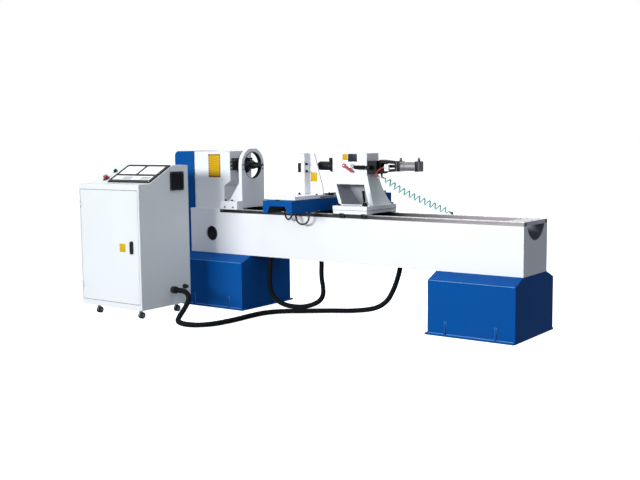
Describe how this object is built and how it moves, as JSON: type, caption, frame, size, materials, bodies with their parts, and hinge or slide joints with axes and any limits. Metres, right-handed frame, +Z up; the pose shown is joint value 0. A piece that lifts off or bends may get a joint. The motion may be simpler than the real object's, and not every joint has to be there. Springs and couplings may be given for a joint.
{
  "type": "automatic wood lathe",
  "caption": "Floor-standing automatic wood lathe: box bed on two bases, headstock, ring rest, cross-sliding tool post, air tailstock and a wheeled control cabinet.",
  "frame": {"origin": "on the floor under the spindle axis, at the centre of the headstock-end base's anchor holes", "axes": "+X along the bed from the headstock to the tailstock, +Y away from the operator's side, +Z up"},
  "size_m": [3.476, 2.052, 1.329],
  "materials": {
    "white_paint": "satin enamel",
    "light_steel": "ground",
    "blue_paint": "gloss enamel",
    "ground_steel": "ground, oiled",
    "black_steel": "blackened",
    "machine_grey": "semi-gloss",
    "belt_rubber": "matt",
    "black_plastic": "fine texture",
    "display_film": "gloss",
    "zinc_plate": "zinc plated",
    "corrugated_hose": "ribbed",
    "cable_sheath": "smooth",
    "teal_hose": "translucent gloss",
    "bright_aluminium": "anodised",
    "red_enamel": "gloss",
    "red_plastic": "gloss",
    "caster_tread": "matt"
  },
  "bodies": {
    "root": {"bed": "white_paint", "base_headstock_end": "blue_paint", "base_tailstock_end": "blue_paint", "headstock_seat": "white_paint", "guide_ways": "ground_steel", "bed_end_plate": "light_steel", "headstock": "white_paint", "belt_guard": "blue_paint", "spindle_motor": "machine_grey", "drive_belt": "belt_rubber", "spindle_bearings": "ground_steel", "bearing_keeper": "black_steel", "ring_rest": "white_paint", "ring_bush": "black_steel", "x_servo": "black_plastic", "screw_supports": "ground_steel", "hose_glands": "black_plastic", "cabinet_shell": "white_paint", "control_panel": "black_plastic", "display": "display_film", "vent_grille": "black_plastic", "electrics_panel": "zinc_plate", "hose_to_cabinet": "corrugated_hose", "hose_loop": "corrugated_hose"},
    "spindle": {"spindle": "black_steel", "spindle_pulley": "black_steel"},
    "motor_rotor": {"motor_pulley": "black_steel"},
    "x_screw": {"x_screw": "ground_steel"},
    "carriage": {"carriage": "blue_paint", "guide_shoes": "ground_steel", "cross_rails": "ground_steel", "y_servo": "black_plastic", "carriage_cables": "cable_sheath"},
    "y_screw": {"y_screw": "ground_steel"},
    "tool_slide": {"tool_slide": "white_paint", "tool_post": "white_paint", "tool_holder": "black_steel"},
    "tailstock": {"tailstock_sole": "white_paint", "tailstock_body": "white_paint", "cylinder_bracket": "black_steel", "air_cylinder": "bright_aluminium", "hand_valve": "bright_aluminium", "spiral_hose": "teal_hose"},
    "quill": {"quill": "black_steel"},
    "live_centre": {"live_centre": "ground_steel"},
    "valve_lever": {"valve_lever": "red_enamel"},
    "quill_lock": {"quill_lock": "black_steel"},
    "clamp_lever": {"clamp_lever": "black_plastic"},
    "door": {"cabinet_door": "white_paint"},
    "door_handle": {"door_handle": "black_plastic"},
    "emergency_stop": {"emergency_stop": "red_plastic"},
    "selector_switch": {"selector_switch": "black_plastic"},
    "caster_1": {"caster_fork_1": "zinc_plate"},
    "wheel_1": {"caster_wheel_1": "caster_tread"},
    "caster_2": {"caster_fork_2": "zinc_plate"},
    "wheel_2": {"caster_wheel_2": "caster_tread"},
    "caster_3": {"caster_fork_3": "zinc_plate"},
    "wheel_3": {"caster_wheel_3": "caster_tread"},
    "caster_4": {"caster_fork_4": "zinc_plate"},
    "wheel_4": {"caster_wheel_4": "caster_tread"}
  },
  "joints": [
    {"name": "spindle_spin", "type": "hinge", "parent": "root", "child": "spindle", "pos_m": [0, 0, 1.19], "axis": [1, 0, 0], "continuous": true},
    {"name": "motor_spin", "type": "hinge", "parent": "root", "child": "motor_rotor", "pos_m": [-0.3, 0, 0.61], "axis": [1, 0, 0], "continuous": true},
    {"name": "carriage_slide", "type": "slide", "parent": "root", "child": "carriage", "axis": [1, 0, 0], "range_m": [-0.45, 0.1]},
    {"name": "x_screw_spin", "type": "hinge", "parent": "root", "child": "x_screw", "pos_m": [0.3, 0, 0.74], "axis": [1, 0, 0], "continuous": true},
    {"name": "tool_slide", "type": "slide", "parent": "carriage", "child": "tool_slide", "axis": [0, 1, 0], "range_m": [-0.15, 0]},
    {"name": "y_screw_spin", "type": "hinge", "parent": "carriage", "child": "y_screw", "pos_m": [0.873, 0, 0.934], "axis": [0, 1, 0], "continuous": true},
    {"name": "tailstock_slide", "type": "slide", "parent": "root", "child": "tailstock", "axis": [1, 0, 0], "range_m": [0, 0.45], "deforming": ["spiral_hose"]},
    {"name": "quill_slide", "type": "slide", "parent": "tailstock", "child": "quill", "axis": [1, 0, 0], "range_m": [-0.01, 0.085]},
    {"name": "live_centre_spin", "type": "hinge", "parent": "quill", "child": "live_centre", "pos_m": [0.945, 0, 1.19], "axis": [1, 0, 0], "continuous": true},
    {"name": "valve_lever_turn", "type": "hinge", "parent": "tailstock", "child": "valve_lever", "pos_m": [1.222, -0.107, 1.196], "axis": [0, 1, 0], "range_deg": [-60, 0]},
    {"name": "quill_lock_turn", "type": "hinge", "parent": "tailstock", "child": "quill_lock", "pos_m": [1.455, -0.11, 1.184], "axis": [0, 1, 0], "range_deg": [-35, 70]},
    {"name": "clamp_lever_turn", "type": "hinge", "parent": "tailstock", "child": "clamp_lever", "pos_m": [1.439, -0.15, 0.9093], "axis": [0, 0, 1], "range_deg": [-90, 90]},
    {"name": "cabinet_door_hinge", "type": "hinge", "parent": "root", "child": "door", "pos_m": [-0.6975, -1.113, 0.573], "axis": [0, 0, 1], "range_deg": [-115, 0]},
    {"name": "door_handle_turn", "type": "hinge", "parent": "door", "child": "door_handle", "pos_m": [-0.103, -1.108, 0.541], "axis": [0, 1, 0], "range_deg": [0, 90]},
    {"name": "emergency_stop_press", "type": "slide", "parent": "root", "child": "emergency_stop", "axis": [0, -0.4731, 0.881], "range_m": [-0.006, 0], "stiffness_N_per_m": 900, "springref_m": 0.004},
    {"name": "selector_turn", "type": "hinge", "parent": "root", "child": "selector_switch", "pos_m": [-0.573, -0.83254, 1.15263], "axis": [0, -0.4731, 0.881], "range_deg": [-45, 45]},
    {"name": "caster_1_swivel", "type": "hinge", "parent": "root", "child": "caster_1", "pos_m": [-0.596, -1.043, 0.06], "axis": [0, 0, 1], "continuous": true},
    {"name": "caster_1_roll", "type": "hinge", "parent": "caster_1", "child": "wheel_1", "pos_m": [-0.596, -1.029, 0.026], "axis": [1, 0, 0], "continuous": true},
    {"name": "caster_2_swivel", "type": "hinge", "parent": "root", "child": "caster_2", "pos_m": [-0.104, -1.043, 0.06], "axis": [0, 0, 1], "continuous": true},
    {"name": "caster_2_roll", "type": "hinge", "parent": "caster_2", "child": "wheel_2", "pos_m": [-0.104, -1.029, 0.026], "axis": [1, 0, 0], "continuous": true},
    {"name": "caster_3_swivel", "type": "hinge", "parent": "root", "child": "caster_3", "pos_m": [-0.596, -0.648, 0.06], "axis": [0, 0, 1], "continuous": true},
    {"name": "caster_3_roll", "type": "hinge", "parent": "caster_3", "child": "wheel_3", "pos_m": [-0.596, -0.634, 0.026], "axis": [1, 0, 0], "continuous": true},
    {"name": "caster_4_swivel", "type": "hinge", "parent": "root", "child": "caster_4", "pos_m": [-0.104, -0.648, 0.06], "axis": [0, 0, 1], "continuous": true},
    {"name": "caster_4_roll", "type": "hinge", "parent": "caster_4", "child": "wheel_4", "pos_m": [-0.104, -0.634, 0.026], "axis": [1, 0, 0], "continuous": true}
  ],
  "couplings": [
    {"joint": "motor_spin", "follows": "spindle_spin", "ratio": 1.3333},
    {"joint": "x_screw_spin", "follows": "carriage_slide", "rad_per_m": 196.35},
    {"joint": "y_screw_spin", "follows": "tool_slide", "rad_per_m": 314.16}
  ]
}
